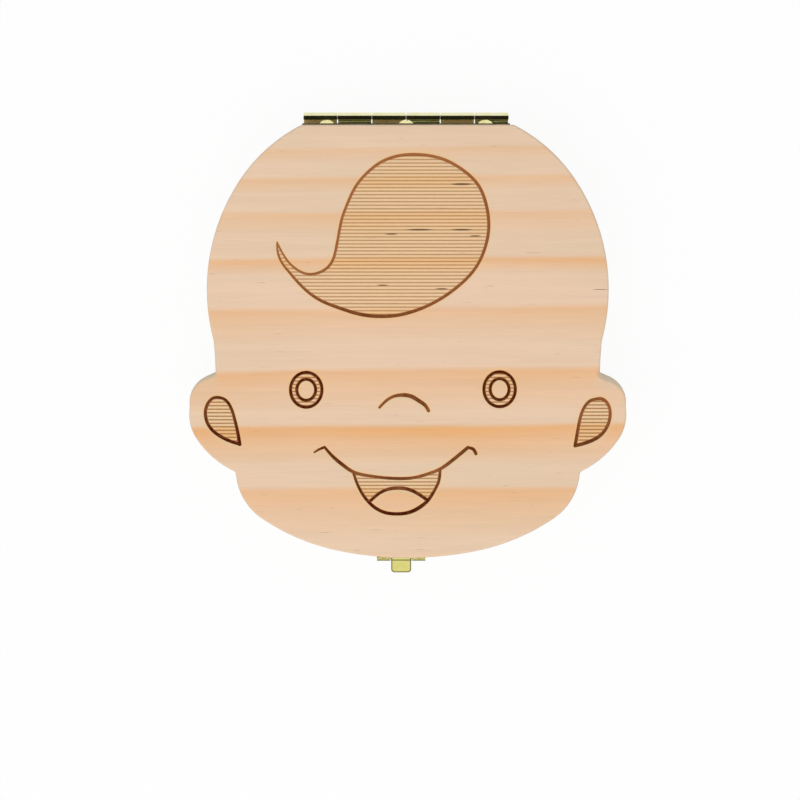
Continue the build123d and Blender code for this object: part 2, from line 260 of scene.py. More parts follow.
def pineMaterial(name, rings):
    material, tree, shader = newMaterial(name)
    place = placeOn(tree, rings["slide"])
    x, y, z = xyz(place)
    grain = {kind: noise(place, *settings) for kind, settings in pineNoises.items()}
    # Where a point lies among the rings: its Y, leaned by its height and bent by two noises
    height = z - rings["faceHeight"]
    bend = (grain["slow"] - 0.5) * (2 * rings["bend"]) + (grain["quick"] - 0.5) * pineLook["ripple"]
    across = y + height * rings["tilt"] + bend - x * rings["drift"]
    tops, levels, lengths = zip(*rings["rings"])
    span = tops[0] - tops[-1]
    share = (tops[0] - across) / span
    starts = [(tops[0] - top) / span for top in tops]

    def ofRing(values):
        # The value of the ring that a point is in.
        return ramp(share, list(zip(starts, values)), "CONSTANT")

    below = share - ofRing(starts)
    rise = mapped(below, 0.0, pineLook["ringRise"] / span, smooth="SMOOTHSTEP")
    fade = ramp(below / ofRing([length / span for length in lengths]), pineLook["ringShape"])
    patches = ramp(grain["patches"], pineLook["patchStops"])
    noisy, even = pineLook["uneven"]
    late = fade * rise * ofRing(levels) * (patches * noisy + even)
    colour = mixColour(patches, pineColours["pale"], pineColours["paleCool"])
    colour = mixColour(late, colour, pineColours["late"])
    fine, broad, plain = pineLook["fibres"]
    fibre = grain["fine"] * fine + grain["broad"] * broad + plain
    grey = addNode(tree, "ShaderNodeCombineXYZ", {0: fibre, 1: fibre, 2: fibre})
    colour = mixColour(1.0, colour, Wire(grey), "MULTIPLY")
    # Resin canals: short dark dashes scattered over the board, and a few that stand out
    resin = ramp(grain["dashes"], pineLook["dashStops"])
    deep = (height / pineLook["streakDepth"]) ** 2
    for streakX, streakY, halfLength, halfWidth in rings["resin"]:
        alongX = (x - (streakX + rings["slide"])) / halfLength
        away = alongX**2 + ((y - streakY) / halfWidth) ** 2 + deep
        spot = ((1.0 - away) * pineLook["streakEdge"]).clamped()
        resin = calc("MAXIMUM", resin, spot * pineLook["streak"])
    # The piece's own attribute holds burn, hatch, scorch, and end grain together with painted shade
    marks = addNode(tree, "ShaderNodeAttribute", attribute_name="marks")
    parts = addNode(tree, "ShaderNodeSeparateColor", {0: Wire(marks, "Color")})
    burn, hatched, scorched = (Wire(parts, i) for i in range(3))
    charring = grain["char"] * noisy + even
    burnShare = (burn * charring).clamped()
    for amount, mark in (
        (Wire(marks, "Alpha") * pineLook["grainAndShade"], "grainAndShade"),
        (scorched, "scorch"),
        (hatched * charring, "hatch"),
        (resin, "resin"),
        ((burnShare * 2.0).clamped(), "singed"),
        ((burnShare * 2.0 - 1.0).clamped(), "burn"),
    ):
        colour = mixColour(amount, colour, pineColours[mark])
    roughness = burn * pineLook["charRoughness"] + pineLook["roughness"]
    roughness = roughness + grain["fine"] * pineLook["fibreRoughness"]
    specular = pineLook["specular"]
    fill(shader, {"Specular IOR Level": (specular - burn * specular).clamped()})
    dress(shader, colour, roughness, grain["fine"] + late * pineLook["ringHeight"], *pineLook["bump"])
    return material


# Brass-plated steel, bright and lightly scratched, with painted shade on the hinge's barrel and the
# tongue's lip
metalFinishes = {  # colour, shade where it is clouded, and roughness between the scratches
    "brassPlate": (linear(232, 224, 138), linear(216, 206, 110), 0.14),
    "dullBrass": (linear(228, 220, 144), linear(208, 198, 118), 0.4),
    "paleBrassShadedBarrel": (linear(236, 234, 192), linear(224, 217, 156), 0.07),
    "screwBrass": (linear(242, 234, 170), linear(214, 200, 120), 0.14),
    "pinSteel": (linear(232, 230, 220), linear(206, 202, 190), 0.44),
}
metalLook = {
    "cloud": (0.35, 0.35, 3.0),  # noises, written as the pine's are
    "cloudStops": [(0.4, 0.0), (0.7, 0.6)],
    "scratches": (0.4, 7.0, 2.0, 0.7),
    "scratchRoughness": 0.16,  # what the scratches add to a finish's roughness
    "bump": (0.15, 0.02),
}
lipShadeRim = {  # painted shade: the tongue's finger lip is painted darker towards its cut edges
    "centreX": -1.8,
    "halfWidth": 2.8,
    "endY": -65.53,
    "corner": 1.0,
    "width": 0.42,
    "darkest": 0.4,  # the share of that width that is darkest
    "colour": linear(112, 108, 52),
}
barrelShadeBand = {  # painted shade: the hinge's barrel is painted dark in a band along its front, towards the wood, as if it mirrored the shaded gap there
    "axisY": 62.4,
    "from": -0.15,
    "to": 0.9,
    "blend": 0.15,
    "axisZ": 15.0,
    "radius": 1.35,
    "share": 0.98,
    "colour": linear(34, 31, 12),
}


def lipShadeShare(x, y, _):
    # Where the painted shade lies: 1 on the edge of the lip's rounded rectangle, falling to 0 further in.
    corner, width = lipShadeRim["corner"], lipShadeRim["width"]
    beside = calc("ABSOLUTE", x - lipShadeRim["centreX"]) - (lipShadeRim["halfWidth"] - corner)
    beyond = (lipShadeRim["endY"] + corner) - y
    out = calc("SQRT", calc("MAXIMUM", beside, 0.0) ** 2 + calc("MAXIMUM", beyond, 0.0) ** 2)
    return mapped(out, corner - width, corner - lipShadeRim["darkest"] * width)


def barrelShadeShare(_, y, z):
    # Where the painted shade lies: 1 along the band, measured forwards from the barrel's axis, and 0 away
    # from the barrel.
    start, end, blend = (barrelShadeBand[key] for key in ("from", "to", "blend"))
    ahead = barrelShadeBand["axisY"] - y
    share = mapped(ahead, start, start + blend) * mapped(ahead, end - blend, end, 1.0, 0.0)
    off = calc("ABSOLUTE", z - barrelShadeBand["axisZ"])
    return share * calc("LESS_THAN", off, barrelShadeBand["radius"]) * barrelShadeBand["share"]


def metalMaterial(name, mark=None, shadeMask=None):
    colour, shade, roughness = metalFinishes[name]
    material, tree, shader = newMaterial(name)
    place = placeOn(tree)
    cloud, scratches = noise(place, *metalLook["cloud"]), noise(place, *metalLook["scratches"])
    colour = mixColour(ramp(cloud, metalLook["cloudStops"]), colour, shade)
    # A band of painted shade, where one is given
    if mark:
        colour = mixColour(shadeMask(*xyz(place)), colour, mark["colour"])
    fill(shader, {"Metallic": 1.0})
    roughness = scratches * metalLook["scratchRoughness"] + roughness
    dress(shader, colour, roughness, scratches, *metalLook["bump"])
    return material


lidPine = pineMaterial("lidPine", lidRings)
basePine = pineMaterial("basePine", baseRings)
brassPlate = metalMaterial("brassPlate")
# The tongue's brass, with painted shade along the cut edges of its finger lip
lipShadedBrass = metalMaterial("brassPlate", lipShadeRim, lipShadeShare)
dullBrass = metalMaterial("dullBrass")
# The hinge leaves' pale brass, with a band of painted shade along the front of the barrel
paleBrassShadedBarrel = metalMaterial("paleBrassShadedBarrel", barrelShadeBand, barrelShadeShare)
screwBrass = metalMaterial("screwBrass")
pinSteel = metalMaterial("pinSteel")
print("stage: materials made")


# Curves on flat paper. The outline's points are complex numbers, x + iy
def arcThrough(start, middle, end, step):
    # Points round the circle through three points, without the last one. Where the end is w times
    # as far from the start as the middle is, the centre is (w - |w|^2) / (2i Im w) times as far.
    w = (end - start) / (middle - start)
    centre = start + (middle - start) * (w - abs(w) ** 2) / (2j * w.imag)
    spoke = start - centre
    turn, part = (np.angle((point - centre) / spoke) % (2 * math.pi) for point in (end, middle))
    if part > turn:
        turn -= 2 * math.pi
    count = max(3, round(abs(turn * spoke) / step))
    return centre + spoke * np.exp(1j * turn * np.linspace(0, 1, count, endpoint=False))


def arcPoints(x, y, radius, start, end, count):
    # Points of an arc round (x, y), from one angle in degrees to the other.
    t = np.radians(np.linspace(start, end, count))
    return (np.stack([np.cos(t), np.sin(t)], 1) * radius + (x, y)).tolist()


def ellipse(centre, halfWidth, halfHeight, step):
    count = round(2 * math.pi * max(halfWidth, halfHeight) / step)
    t = np.linspace(0, 2 * math.pi, count, endpoint=False)
    return np.stack([np.cos(t), np.sin(t)], 1) * (halfWidth, halfHeight) + centre


def evenly(loop, step):
    # The same closed outline with its points a step apart, measured along it.
    line = np.append(loop, loop[0])
    along = np.append(0, np.cumsum(np.abs(np.diff(line))))
    at = np.linspace(0, along[-1], round(along[-1] / step), endpoint=False)
    return np.interp(at, along, line)


def blurred(values, spacing, spread):
    # Values at even steps round a closed loop, blurred by a bell curve of that spread, through
    # their spectrum.
    waves = np.fft.fftfreq(len(values), spacing)
    return np.fft.ifft(np.fft.fft(values) * np.exp(-2 * (math.pi * waves * spread) ** 2))


def outwards(loop):
    # Unit normals of a closed loop that runs anticlockwise.
    along = np.roll(loop, -1, 0) - np.roll(loop, 1, 0)
    along /= np.hypot(*along.T)[:, None]
    return np.stack([along[:, 1], -along[:, 0]], 1)


def splineThrough(points, step):
    # The natural cubic spline through some points, on their distances along the chords.
    points = np.array(points, float)
    at = np.append(0, np.cumsum(np.hypot(*np.diff(points, axis=0).T)))
    gap = np.diff(at)
    size = len(points)
    system = np.eye(size)
    right = np.zeros((size, 2))
    inner = np.arange(1, size - 1)
    system[inner, inner - 1] = gap[:-1]
    system[inner, inner] = 2 * (gap[:-1] + gap[1:])
    system[inner, inner + 1] = gap[1:]
    right[inner] = 6 * np.diff(np.diff(points, axis=0) / gap[:, None], axis=0)
    second = np.linalg.solve(system, right)
    t = np.linspace(0, at[-1], max(6, round(at[-1] / step) + 1))
    i = np.clip(np.searchsorted(at, t, side="right") - 1, 0, size - 2)
    left, rest, width = (t - at[i])[:, None], (at[i + 1] - t)[:, None], gap[i][:, None]
    return (
        second[i] * rest**3 / (6 * width) + second[i + 1] * left**3 / (6 * width)
        + (points[i] / width - second[i] * width / 6) * rest
        + (points[i + 1] / width - second[i + 1] * width / 6) * left
    )


# Outline of the head, shared by both halves, as shares of half its width and height
head = {
    "width": 120.0,
    "height": 118.9,
    "flatEnd": (0.485, 1.0),
    "arcs": [
        (0.637, 0.896), (0.743, 0.781),  # shoulder of the flat
        (0.911, 0.364), (0.888, 0.0025),  # crown
        (0.882, -0.0735), (0.879, -0.1505),  # temple
        (0.963, -0.191), (0.997, -0.302),  # top of the ear
        (0.993, -0.3915), (0.956, -0.465),  # back of the ear
        (0.892, -0.536), (0.787, -0.604),  # lobe
        (0.755, -0.721), (0.658, -0.825),  # cheek
        (0.507, -0.9075), (0.340, -0.963),  # jaw
        (0.170, -0.991), (0.0, -1.0),  # chin
    ],
    "fineStep": 0.1,
    "step": 0.5,
    "sanded": 0.4,  # how far sanding blurs the corners
}


def headLoop():
    # The right half is arcs from the hinge flat to the chin, the left half is its mirror image.
    half = np.array([head["flatEnd"], *head["arcs"]]) @ [head["width"] / 2, 1j * head["height"] / 2]
    arcs = [arcThrough(*half[i:i + 3], head["fineStep"]) for i in range(0, len(half) - 1, 2)]
    right = np.concatenate([*arcs, half[-1:]])
    loop = evenly(np.concatenate([right[::-1], -right[1:-1].conj()]), head["fineStep"])
    loop = blurred(loop, np.abs(np.diff(loop)).mean(), head["sanded"])
    loop = evenly(loop, head["step"])
    return np.stack([loop.real, loop.imag], 1)


# The drawing burned into the lid, in millimetres from its own middle
drawingCentre = (0.0, -0.35)  # from the middle of the face
drawing = {
    "hair": {
        "points": [
            (-35.8, 27.4), (-35.6, 24.6), (-34.6, 22.1), (-32.5, 19.3), (-28.9, 15.3), (-24.5, 11.9),
            (-18.5, 9.4), (-13.6, 7.9), (-7.6, 7.2), (-3.6, 7.4), (2.5, 8.9), (8.5, 11.7), (14.1, 15.7),
            (18.6, 20.5), (21.0, 25.4), (22.2, 31.2), (21.4, 38.3), (19.4, 43.1), (15.7, 46.9),
            (10.5, 50.0), (2.5, 51.6), (-3.6, 51.0), (-8.0, 49.1), (-11.2, 46.5), (-14.1, 43.1),
            (-16.5, 38.2), (-18.1, 33.8), (-18.9, 29.8), (-19.5, 26.6), (-20.3, 23.3), (-21.7, 20.9),
            (-24.1, 19.3), (-27.3, 18.8), (-30.5, 20.1), (-33.4, 23.0), (-35.8, 27.4),
        ],
        "widths": [0.7, 0.92, 1.15, 1.0, 0.95, 1.0, 0.98, 0.95, 0.88, 0.88, 0.62],
        "burn": [0.52, 0.74, 0.83, 0.73, 0.68, 0.68, 0.55, 0.57, 0.56, 0.61, 0.53],
    },
    "nose": {
        "points": [
            (-7.75, -17.8), (-6.3, -16.3), (-4.2, -14.9), (-1.6, -14.4), (1.05, -14.8), (3.1, -16.0),
            (4.8, -17.25), (5.7, -18.7),
        ],
        "widths": [0.8, 0.9, 0.97, 1.2, 1.25, 1.15, 1.0],
        "burn": [0.72, 0.71, 0.74, 0.84, 0.81, 0.86, 0.72],
    },
    "smileCorner": {
        "points": [(-25.6, -30.1), (-24.3, -29.3), (-22.8, -28.7)],
        "widths": [0.62, 0.78, 0.85],
        "burn": [0.76, 0.92, 0.98],
    },
    "smile": {
        "points": [
            (-22.8, -28.7), (-20.6, -31.2), (-17.9, -33.5), (-14.9, -35.5), (-10.9, -36.5), (-6.3, -37.1),
            (-2.65, -37.3), (1.4, -37.1), (5.3, -36.1), (9.0, -34.6), (12.0, -32.5), (14.7, -30.3),
            (16.5, -28.8),
        ],
        "widths": [0.82, 1.12, 1.03, 0.92, 0.97, 0.95, 1.0, 1.08, 1.08],
        "burn": [0.95, 0.95, 0.72, 0.75, 0.88, 0.76, 0.66, 0.82, 0.89],
    },
    "smileHook": {
        "points": [(16.5, -28.8), (18.0, -29.3), (18.7, -30.5)],
        "widths": [0.85, 1.05, 1.0],
        "burn": [0.94, 0.94, 0.84],
    },
    "lip": {
        "points": [
            (-14.9, -35.8), (-13.6, -39.3), (-11.9, -42.3), (-9.6, -44.8), (-6.3, -46.6), (-3.3, -47.0),
            (0.3, -46.6), (3.7, -44.9), (5.7, -43.1), (7.3, -40.6), (8.5, -38.0), (8.85, -35.2),
        ],
        "widths": [0.83, 0.96, 1.05, 1.05, 1.2, 0.95, 0.9],
        "burn": [0.86, 0.97, 1.0, 1.0, 1.0, 0.93, 0.81],
    },
    "tongue": {
        "points": [
            (-10.1, -43.3), (-7.9, -41.4), (-5.6, -40.3), (-2.65, -39.9), (0.3, -40.3), (3.0, -41.6),
            (5.2, -43.1),
        ],
        "widths": [1.0, 1.0, 1.12, 1.05, 1.05],
        "burn": [1.0, 0.95, 0.8, 0.97, 1.0],
    },
    "leftDropOuter": {
        "points": [
            (-46.1, -27.9), (-48.8, -27.0), (-51.4, -25.7), (-53.8, -23.8), (-55.3, -21.0), (-55.4, -18.3),
            (-54.4, -16.1), (-53.3, -15.2), (-52.2, -15.0),
        ],
        "widths": [1.0, 1.08, 1.02, 1.03, 0.95],
        "burn": [1.0, 1.0, 0.97, 0.86, 0.92],
    },
    "leftDropInner": {
        "points": [
            (-52.2, -15.0), (-50.4, -15.5), (-48.8, -17.3), (-47.5, -21.0), (-46.7, -24.4), (-46.1, -27.9),
        ],
        "widths": [0.95, 0.95, 0.95, 1.02, 1.15],
        "burn": [0.92, 0.95, 0.9, 1.0, 1.0],
    },
    "rightDropOuter": {
        "points": [
            (45.9, -28.3), (50.2, -27.0), (53.1, -25.2), (54.7, -23.0), (55.5, -20.2), (55.3, -17.8),
            (54.4, -16.2), (53.4, -15.5), (52.2, -15.4),
        ],
        "widths": [1.1, 1.12, 1.03, 0.95, 1.08],
        "burn": [0.86, 0.92, 0.78, 0.62, 0.72],
    },
    "rightDropInner": {
        "points": [
            (52.2, -15.4), (50.2, -15.9), (48.6, -17.5), (47.4, -20.4), (46.6, -24.4), (45.9, -28.3),
        ],
        "widths": [0.95, 0.95, 0.97, 1.03, 1.0],
        "burn": [0.72, 0.79, 0.68, 0.82, 0.92],
    },
}
eyes = {
    "centres": [(-27.85, -12.95), (25.2, -12.8)],
    "rings": [(4.3, 4.77), (2.6, 2.9)],  # half width and half height of each ring's line
    "width": 1.0,
    "burn": 0.99,
}
groove = {
    "step": 0.45,
    "depth": 0.28,
    "wall": 0.18,  # how far in from its edge a burned line reaches its depth
    "narrowest": 0.04,  # half of the least width of its floor
    "halo": 0.9,  # how far out the scorching fades
    "fall": 1.5,  # how fast
    "scorch": 0.28,
}
hatch = {
    "pitch": 0.9644,
    "half": 0.26,
    "core": 0.11,
    "depth": 0.07,
    "step": 1.6,
    "tint": 0.27,  # how brown the scorching makes its rows
    "slack": 0.01,  # for points on the very edge of a row
    "hair": {"level": 0.75, "row": 49.25},  # how dark its rows are, and the place of one of them
    "eyes": {"level": 0.95, "row": -10.53},
    "mouth": {"level": 0.85, "row": -37.25, "clear": 0.2},  # and how far its rows stay off the tongue
    "leftEar": {"level": 0.95, "row": -16.35},
    "rightEar": {"level": 0.95, "row": -17.1},
}


def drawn(name):
    return splineThrough(drawing[name]["points"], groove["step"]) + drawingCentre


def eyeRings():
    # The outer and inner ring of each eye.
    return [
        [ellipse(np.add(centre, drawingCentre), *ring, groove["step"]) for ring in eyes["rings"]]
        for centre in eyes["centres"]
    ]


def burnedLines():
    # Every line as points, half widths and burn, and whether it closes on itself.
    lines = []
    for name, line in drawing.items():
        points = drawn(name)
        share = np.linspace(0, 1, len(points))
        widths, burn = (
            np.interp(share, np.linspace(0, 1, len(line[key])), line[key]) for key in ("widths", "burn")
        )
        lines.append((points, widths / 2, burn, False))
    for points in [ring for rings in eyeRings() for ring in rings]:
        half, burn = (np.full(len(points), level) for level in (eyes["width"] / 2, eyes["burn"]))
        lines.append((points, half, burn, True))
    return lines


def besideLine(points, reach, closed):
    # Closed loops that run beside a line at a given reach: one each side of a closed line, or one
    # all round an open one with half circles at its ends.
    reach = np.reshape(reach, (-1, 1))
    if closed:
        aside = outwards(points) * reach
        return [points + aside, points - aside]
    along = np.gradient(points, axis=0)
    along /= np.hypot(*along.T)[:, None]
    along *= reach
    aside = np.stack([-along[:, 1], along[:, 0]], 1)
    turn = np.linspace(0, math.pi, 7)[1:-1][:, None]
    endCap = points[-1] + aside[-1] * np.cos(turn) + along[-1] * np.sin(turn)
    startCap = points[0] - aside[0] * np.cos(turn) - along[0] * np.sin(turn)
    return [np.vstack([points + aside, endCap, (points - aside)[::-1], startCap])]


def scanRows(place, loop, holes=()):
    # Level rows through a closed outline at the hatch's pitch, as (y, from x, to x, level).
    pitch, level = hatch["pitch"], hatch[place]["level"]
    first = drawingCentre[1] + hatch[place]["row"]
    low, high = (loop[:, 1].min() - first) / pitch, (loop[:, 1].max() - first) / pitch
    rows = []
    for row in range(math.ceil(low), math.floor(high) + 1):
        y = first + row * pitch
        found = []
        for edge in (loop, *holes):
            ahead = np.roll(edge, -1, 0)
            hit = (edge[:, 1] - y) * (ahead[:, 1] - y) < 0
            share = (y - edge[hit, 1]) / (ahead[hit, 1] - edge[hit, 1])
            found.extend(edge[hit, 0] + share * (ahead[hit, 0] - edge[hit, 0]))
        found.sort()
        rows.extend((y, a, b, level) for a, b in zip(found[::2], found[1::2]) if b - a > 2 * hatch["half"])
    return rows


def hatchRows():
    # Rows of the hair, the eyes between their rings, the open mouth above the tongue and the ears.
    rows = scanRows("hair", drawn("hair"))
    for outer, inner in eyeRings():
        rows += scanRows("eyes", outer, [inner])
    lip, smile, tongue = drawn("lip"), drawn("smile"), drawn("tongue")
    above = smile[(smile[:, 0] > lip[0, 0]) & (smile[:, 0] < lip[-1, 0])]
    beside = lip[:, 1] > tongue[:, 1].min() + hatch["mouth"]["clear"]
    leftLip, rightLip = lip[beside & (lip[:, 0] < 0)], lip[beside & (lip[:, 0] > 0)]
    rows += scanRows("mouth", np.vstack([above, rightLip[::-1], tongue[::-1], leftLip[::-1]]))
    for side in ("left", "right"):
        rows += scanRows(side + "Ear", np.vstack([drawn(side + "DropOuter"), drawn(side + "DropInner")]))
    return rows


def inBlocks(points):
    # The points in blocks that are small enough to compare with every line at once.
    return np.array_split(points, math.ceil(len(points) / 2000))


def marksAt(points, lines, rows):
    # Burn, hatch, scorch and the share of a groove's depth at each point, from its distances to
    # the nearest line's edge and to the nearest row.
    centre, half, burn = (np.concatenate([line[i] for line in lines]) for i in range(3))
    rowY, left, right, level = np.array(rows).T
    marks = []
    for block in inBlocks(points):
        x, y = block[:, None, 0], block[:, None, 1]
        away = np.hypot(x - centre[:, 0], y - centre[:, 1]) - half
        near, edge = away.argmin(1), away.min(1)
        inside = np.clip(-edge / groove["wall"], 0, 1)
        scorch = groove["scorch"] * np.clip(1 - edge / groove["halo"], 0, 1) ** groove["fall"]
        beside = (x >= left - hatch["slack"]) & (x <= right + hatch["slack"])
        off = np.where(beside, np.abs(y - rowY), np.inf)
        nearest = off.min(1)
        reach = np.clip((hatch["half"] - nearest) / (hatch["half"] - hatch["core"]), 0, 1)
        tinted = (nearest < hatch["half"] + hatch["slack"]) * hatch["tint"]
        hatched = reach * level[off.argmin(1)]
        marks.append([inside * burn[near], hatched, np.maximum(scorch, tinted), inside])
    return np.hstack(marks)


def insideLoop(points, loop):
    # Whether each point is inside a closed loop: a ray to its right crosses the loop an odd
    # number of times.
    ahead = np.roll(loop, -1, 0)
    x, y = points[:, None, 0], points[:, None, 1]
    spans = (loop[:, 1] > y) != (ahead[:, 1] > y)
    rise = np.where(ahead[:, 1] == loop[:, 1], 1.0, ahead[:, 1] - loop[:, 1])
    meets = loop[:, 0] + (y - loop[:, 1]) / rise * (ahead[:, 0] - loop[:, 0])
    return (spans & (meets > x)).sum(1) % 2 == 1


def triangulate(loops, lines=()):
    # Triangles inside the first loop, through the points of all the others, which may cross.
    points, edges, count = [], [], 0
    for line, closed in [(loop, True) for loop in loops] + list(lines):
        here = np.arange(count, count + len(line))
        pairs = np.stack([here, np.roll(here, -1)], 1)
        points.append(line)
        edges.append(pairs if closed else pairs[:-1])
        count += len(line)
    flat = np.round(np.vstack(points), 3)
    made = delaunay_2d_cdt(flat.tolist(), np.vstack(edges).tolist(), [], 1, 1e-4, False)
    placed, triangles = np.array([tuple(p) for p in made[0]]), np.array(made[2])
    outer = flat[:len(loops[0])]
    keep = [insideLoop(block, outer) for block in inBlocks(placed[triangles].mean(1))]
    return placed, triangles[np.concatenate(keep)]


def edgeRadii(loop):
    # The width of the sanded edge at each point: the plain one, wider over the top of either
    # ear, where it swells and fades along X as a bell curve.
    x, y = loop.T
    radii = np.full(len(loop), sanding["edge"])
    beside = (y < sanding["below"]) & (y > sanding["above"])
    for centre, extra in sanding["ears"]:
        near = np.exp(-((x - centre) / sanding["spread"]) ** 2) * beside
        radii = radii + extra * near * np.clip(outwards(loop)[:, 1], 0, 1)
    return blurred(radii, head["step"], sanding["blend"]).real


def upright(low, high, count):
    # The straight part of a profile, without its ends.
    return [(0.0, z) for z in np.linspace(low, high, count)[1:-1]]


def carried(loop, profile):
    # A profile of (inset, height) pairs carried round a loop: one row of points for each pair.
    normal = outwards(loop)
    inset, height = np.array(profile, float).T
    flat = loop[None] - normal[None] * inset[:, None, None]
    rows = np.concatenate([flat, np.broadcast_to(height[:, None, None], (*flat.shape[:2], 1))], 2)
    return np.round(rows, 3)


def between(rows, start):
    # Four-sided faces between neighbouring rows of a closed loop, from the point numbered start.
    high, wide = rows.shape[:2]
    number = start + np.arange(high * wide).reshape(high, wide)
    beside = np.roll(number, -1, 1)
    return np.stack([number[:-1], beside[:-1], beside[1:], number[1:]], 2).reshape(-1, 4)


class Shell:
    # Points and faces gathered from several surfaces, welded where they meet.
    def __init__(self):
        self.points, self.faces, self.count = [], [], 0

    def add(self, points, faces, upwards=True):
        self.points.append(points.reshape(-1, 3))
        self.faces.append(faces if upwards else faces[:, ::-1])
        self.count += len(self.points[-1])

    def wall(self, rows):
        self.add(rows, between(rows, self.count))

    def flat(self, points, triangles, height, upwards=True):
        placed = np.column_stack([points, np.broadcast_to(height, len(points))])
        self.add(placed, triangles + self.count, upwards)

    def fan(self, row, upwards=True):
        # A convex loop closed by triangles to its middle.
        here = self.count + np.arange(len(row))
        middle = np.full(len(row), self.count + len(row))
        self.add(np.vstack([row, row.mean(0)]), np.stack([here, np.roll(here, -1), middle], 1), upwards)

    def mesh(self, name):
        points = np.vstack(self.points)
        keys = np.round(points * 1000).astype(np.int64)
        _, first, renumber = np.unique(keys, axis=0, return_index=True, return_inverse=True)
        renumber = renumber.ravel()
        points = points[first]
        faces = []
        for group in self.faces:
            group = renumber[group]
            whole = np.all(group != np.roll(group, -1, 1), axis=1)
            faces.extend(group[whole].tolist())
        made = bpy.data.meshes.new(name)
        made.from_pydata((points * mm).tolist(), [], faces)
        made.update()
        return made, points


def showPiece(name, mesh, material, body, nodes):
    piece = linked(name, mesh)
    mesh.materials.append(material)
    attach(piece, body)
    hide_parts(*nodes)


def vectors(items, key):
    values = np.zeros(len(items) * 3, np.float32)
    items.foreach_get(key, values)
    return values.reshape(-1, 3)


grainAndShade = {  # where the grey of end grain and of painted shade shows
    "upright": 0.7,  # on faces that look up less than this
    "ends": 0.6,  # strength on faces that look along the grain
    "rear": 1.6,  # and, as painted shade, on those that look to the rear over the ears
}


def paintMarks(mesh, burn=0.0, hatched=0.0, scorch=0.0):
    # The attribute that the pine reads: burn, hatch, scorch, and end grain with painted shade, from the
    # normal.
    normal, place = vectors(mesh.vertices, "normal"), vectors(mesh.vertices, "co")
    values = np.zeros((len(place), 4), np.float32)
    for i, part in enumerate((burn, hatched, scorch)):
        values[:, i] = part
    ends = np.abs(normal[:, 0]) * (np.abs(normal[:, 2]) < grainAndShade["upright"]) * grainAndShade["ends"]
    # Painted shade: faces that look to the rear, in the front half where the ears are, turn grey
    rear = np.clip(normal[:, 1] * grainAndShade["rear"], 0, 1) * (place[:, 1] < 0)
    values[:, 3] = np.maximum(ends, rear)
    layer = mesh.attributes.new("marks", "FLOAT_COLOR", "POINT")
    layer.data.foreach_set("color", values.ravel())


def smoothed(mesh, sharpAngle=35, levelFrom=0.99995):
    # Edges are sharp from an angle in degrees on, and faces smooth unless they are as good as level.
    mesh.set_sharp_from_angle(angle=math.radians(sharpAngle))
    mesh.polygons.foreach_set("use_smooth", np.abs(vectors(mesh.polygons, "normal")[:, 2]) <= levelFrom)
    mesh.update()


# Lid: a thick board with the drawing burned into its face
lidBoard = {
    "bottom": 15.0,
    "top": 30.0,
    "innerEase": 0.22,  # the sharp edge against the base, just broken
}
sanding = {
    "edge": 0.6,  # radius of the sanded edge round the face
    "ears": [(53.5, 1.1), (-55.0, 0.4)],  # each ear's top along X, and how much wider the edge is there
    "spread": 6.0,
    "above": -30.0,
    "below": 0.0,
    "blend": 0.8,
    "flattest": 0.85,  # how near the widest edge comes to a flat bevel
    "flattens": 0.5,  # over how much more width it gets there
}


def makeLid():
    bottom, top = lidBoard["bottom"], lidBoard["top"]
    ease = lidBoard["innerEase"]
    loop = headLoop()
    profile = arcPoints(ease, bottom + ease, ease, -90, -180, 4)
    profile += upright(bottom + ease, top - sanding["edge"], 5)
    # The edge is a quarter circle where it is narrow and nears a flat bevel where it is wide.
    radii = edgeRadii(loop)[:, None]
    bevelled = np.clip((radii - sanding["edge"]) / sanding["flattens"], 0, sanding["flattest"])
    edgeRows = []
    for step in np.linspace(0, 1, 8):
        turn = step * math.pi / 2
        inset = radii * ((1 - bevelled) * (1 - math.cos(turn)) + bevelled * step)
        drop = radii * ((1 - bevelled) * (1 - math.sin(turn)) + bevelled * (1 - step))
        edgeRows.append(np.hstack([loop - outwards(loop) * inset, top - drop]))
    rows = np.concatenate([carried(loop, profile), np.round(edgeRows, 3)])
    shell = Shell()
    shell.wall(rows)
    shell.flat(*triangulate([rows[0, :, :2]]), bottom, upwards=False)
    lines, hatches = burnedLines(), hatchRows()
    drawnEdges = []
    for points, half, _, closed in lines:
        floorHalf = np.maximum(half - groove["wall"], groove["narrowest"])
        for reach in (half + groove["halo"], half, floorHalf):
            drawnEdges += [(loop, True) for loop in besideLine(points, reach, closed)]
    for y, left, right, _ in hatches:
        x = np.linspace(left, right, max(2, round((right - left) / hatch["step"]) + 1))
        for off in (-hatch["half"], -hatch["core"], hatch["core"], hatch["half"]):
            drawnEdges.append((np.stack([x, np.full(len(x), y + off)], 1), False))
    points, triangles = triangulate([rows[-1, :, :2]], drawnEdges)
    _, hatched, _, inside = marksAt(points, lines, hatches)
    depth = np.maximum(inside * groove["depth"], hatched * hatch["depth"])
    shell.flat(points, triangles, top - depth)
    mesh, placed = shell.mesh("lid_board")
    face = placed[:, 2] > top - 2 * groove["depth"]
    marks = np.zeros((3, len(placed)))
    marks[:, face] = marksAt(placed[face, :2], lines, hatches)[:3]
    paintMarks(mesh, *marks)
    smoothed(mesh)
    showPiece("lid_board", mesh, lidPine, "lid", ["lid"])


# Base: the lower board, with a ring of wells and two compartments routed into it
baseBoard = {
    "bottom": 0.0,
    "top": 15.0,
    "edgeRound": 0.6,
    "innerEase": 0.22,
    "wellCount": 20,
    "wellRadius": 4.75,
    "wellDepth": 10.0,
    "wellStep": 0.533,
    "ringHalfWidth": 36.0,
    "ringHalfHeight": 42.0,
    "ringCentreY": 2.0,
    "compartmentWidth": 36.0,
    "compartmentHeight": 20.0,
    "compartmentGap": 6.0,
    "compartmentRound": 4.0,
    "mouthEase": 0.3,
    "floorRound": 0.4,
}


